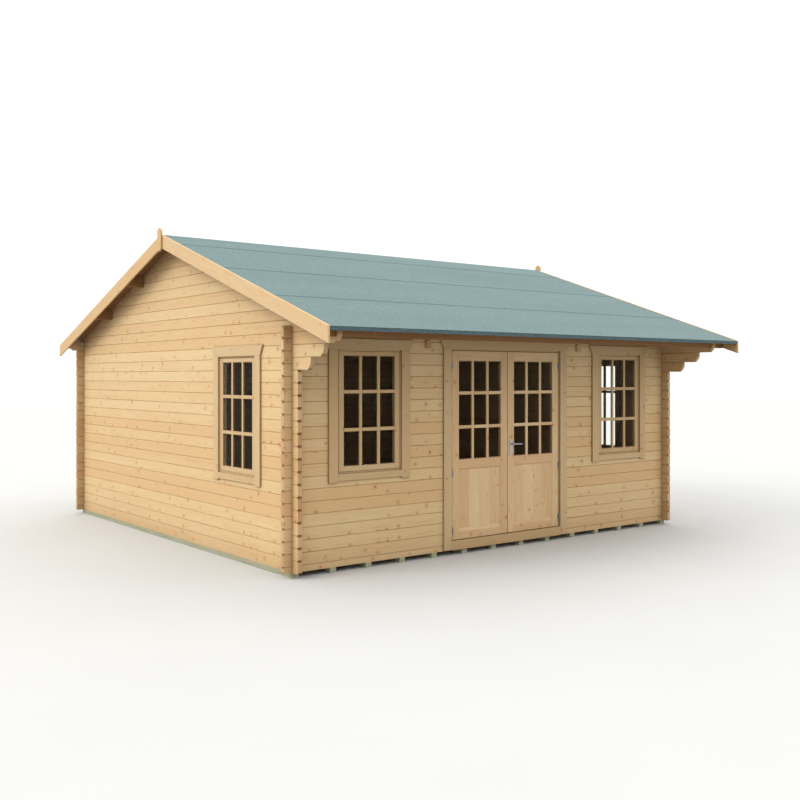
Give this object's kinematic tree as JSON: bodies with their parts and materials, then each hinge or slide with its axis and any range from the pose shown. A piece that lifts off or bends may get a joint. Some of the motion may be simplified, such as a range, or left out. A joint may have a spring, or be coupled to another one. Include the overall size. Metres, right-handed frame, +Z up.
{
  "type": "log cabin",
  "caption": "Square log cabin with a felt-covered ridge roof, a stepped front canopy, barred sash windows in the front and side walls, and a half-glazed double door.",
  "frame": {"origin": "on the ground, under the ridge and midway between the barge boards", "axes": "+Z up, +Y towards the back wall, +X to the right as seen from the front; the double door faces -Y"},
  "size_m": [5.806, 6.528, 3.4206],
  "materials": {
    "treated_timber": "rough sawn, pressure treated",
    "floor_boards": "planed",
    "logs": "planed, untreated",
    "beams": "planed, untreated",
    "roof_boards": "planed, untreated",
    "felt": "mineral-faced bitumen felt",
    "barge_boards": "planed, untreated",
    "window_frames": "planed, untreated",
    "sashes": "planed, untreated",
    "glass": "clear",
    "door_frame": "planed, untreated",
    "door_leaves": "planed, untreated",
    "hinges": "zinc plated",
    "handle": "satin"
  },
  "bodies": {
    "cabin": {"floor_bearers": "treated_timber", "floor_boards": "floor_boards", "front_wall_left": "logs", "front_wall_right": "logs", "front_wall_header": "logs", "back_wall": "logs", "left_wall": "logs", "right_wall": "logs", "left_gable": "logs", "right_gable": "logs", "ridge_beam": "beams", "purlins": "beams", "eaves_beam": "beams", "roof_boards_front": "roof_boards", "roof_boards_back": "roof_boards", "felt_front": "felt", "felt_back": "felt", "ridge_felt": "felt", "left_barge_boards": "barge_boards", "right_barge_boards": "barge_boards", "finials": "barge_boards", "beam_ends": "logs", "front_left_window_frame": "window_frames", "front_left_window_sash": "sashes", "front_left_window_glass": "glass", "front_right_window_frame": "window_frames", "front_right_window_sash": "sashes", "front_right_window_glass": "glass", "left_window_frame": "window_frames", "left_window_sash": "sashes", "left_window_glass": "glass", "right_window_frame": "window_frames", "right_window_sash": "sashes", "right_window_glass": "glass", "door_frame": "door_frame", "door_trim": "door_frame", "door_frame_hinges": "hinges"},
    "left_door": {"left_door_leaf": "door_leaves", "left_door_glass": "glass", "left_door_hinges": "hinges"},
    "right_door": {"right_door_leaf": "door_leaves", "right_door_glass": "glass", "right_door_hinges": "hinges", "door_handle_plates": "handle"},
    "lever": {"door_lever": "handle"}
  },
  "joints": [
    {"name": "left_door_hinge", "type": "hinge", "parent": "cabin", "child": "left_door", "pos_m": [-0.7835, -2.374, 0.246], "axis": [0, 0, -1], "range_deg": [0, 110]},
    {"name": "right_door_hinge", "type": "hinge", "parent": "cabin", "child": "right_door", "pos_m": [0.7835, -2.374, 0.246], "axis": [0, 0, 1], "range_deg": [0, 110]},
    {"name": "lever_turn", "type": "hinge", "parent": "right_door", "child": "lever", "pos_m": [0.05, -2.368, 1.095], "axis": [0, 1, 0], "range_deg": [0, 40], "stiffness_Nm_per_rad": 1.5, "springref_deg": -20.05}
  ]
}
